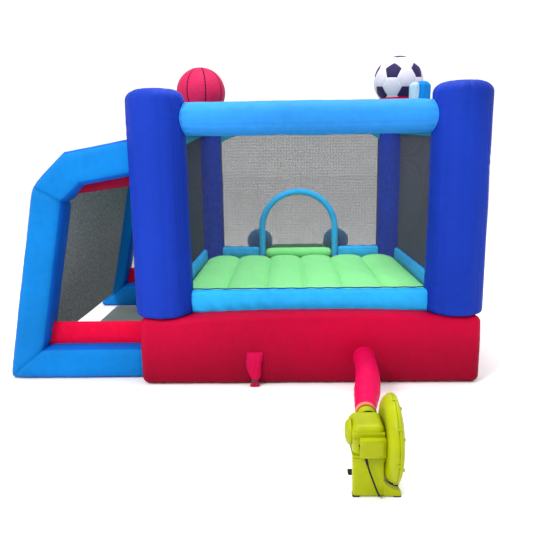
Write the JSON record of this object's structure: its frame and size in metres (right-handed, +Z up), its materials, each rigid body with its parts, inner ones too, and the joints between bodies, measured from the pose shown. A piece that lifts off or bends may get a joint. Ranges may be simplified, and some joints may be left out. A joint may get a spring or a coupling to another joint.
{
  "type": "inflatable bounce house",
  "caption": "Inflatable bounce house: netted jumping room on a red air cushion, with corner columns, ball toppers, side goal bay, rear doorway with slide, and an electric blower on a hose.",
  "frame": {"origin": "centre of the red base cushion's underside, on the ground", "axes": "+Z up; -Y towards the blower side; +Y towards the doorway and the slide; -X towards the goal bay"},
  "size_m": [2.8692, 4.581, 2.134],
  "materials": {
    "dark_blue_fabric": "woven, slight sheen",
    "bright_blue_fabric": "woven, slight sheen",
    "sky_blue_fabric": "woven, slight sheen",
    "red_fabric": "woven, slight sheen",
    "green_fabric": "woven, slight sheen",
    "crimson_ball_fabric": "printed, slight sheen",
    "white_ball_fabric": "printed, slight sheen",
    "dark_netting": "open mesh",
    "lime_plastic": "satin",
    "black_plastic": "matte",
    "black_rubber": "matte",
    "orange_webbing": "woven",
    "black_tie_cord": "woven",
    "motor_steel": "satin"
  },
  "bodies": {
    "house": {"column_front_left": "dark_blue_fabric", "column_front_right": "dark_blue_fabric", "column_rear_left": "dark_blue_fabric", "column_rear_right": "dark_blue_fabric", "front_beam": "bright_blue_fabric", "rear_beam": "bright_blue_fabric", "left_beam": "bright_blue_fabric", "right_beam": "bright_blue_fabric", "door_arch": "bright_blue_fabric", "beam_peg": "bright_blue_fabric", "slide_rail_left": "bright_blue_fabric", "slide_rail_right": "bright_blue_fabric", "goal_near_foot_beam": "bright_blue_fabric", "goal_near_leg": "bright_blue_fabric", "goal_near_top_beam": "bright_blue_fabric", "goal_far_foot_beam": "bright_blue_fabric", "goal_far_leg": "bright_blue_fabric", "goal_far_top_beam": "bright_blue_fabric", "front_border": "sky_blue_fabric", "left_border": "sky_blue_fabric", "right_border": "sky_blue_fabric", "rear_border_left": "sky_blue_fabric", "rear_border_right": "sky_blue_fabric", "base_cushion": "red_fabric", "soccer_ball_collar": "red_fabric", "slide_body": "red_fabric", "inflation_hose": "red_fabric", "deflation_sleeve": "red_fabric", "goal_near_lower_band": "red_fabric", "goal_near_upper_band": "red_fabric", "goal_far_lower_band": "red_fabric", "goal_far_upper_band": "red_fabric", "bounce_floor": "green_fabric", "threshold_roll": "green_fabric", "slide_mat": "green_fabric", "basketball": "crimson_ball_fabric", "soccer_ball": "white_ball_fabric", "front_net": "dark_netting", "rear_net": "dark_netting", "left_net": "dark_netting", "right_net": "dark_netting", "goal_side_net": "dark_netting", "goal_far_net": "dark_netting", "motor_housing": "lime_plastic", "motor_cap": "lime_plastic", "fan_casing": "lime_plastic", "inlet_cover": "lime_plastic", "control_box": "lime_plastic", "blower_stand": "lime_plastic", "plug": "black_plastic", "foot_strip_left": "black_rubber", "foot_strip_right": "black_rubber", "strain_relief": "black_rubber", "power_cord": "black_rubber", "cord_coil": "black_rubber", "hose_strap": "orange_webbing", "sleeve_tie": "black_tie_cord", "motor": "motor_steel"},
    "impeller": {"impeller": "black_plastic"},
    "power_switch": {"power_switch": "black_plastic"}
  },
  "joints": [
    {"name": "impeller_spin", "type": "hinge", "parent": "house", "child": "impeller", "pos_m": [0.239, -2.215, 0.215], "axis": [1, 0, 0], "continuous": true},
    {"name": "switch_rock", "type": "hinge", "parent": "house", "child": "power_switch", "pos_m": [0.139, -2.30015, 0.215], "axis": [0, 1, 0], "range_deg": [0, 18]}
  ]
}
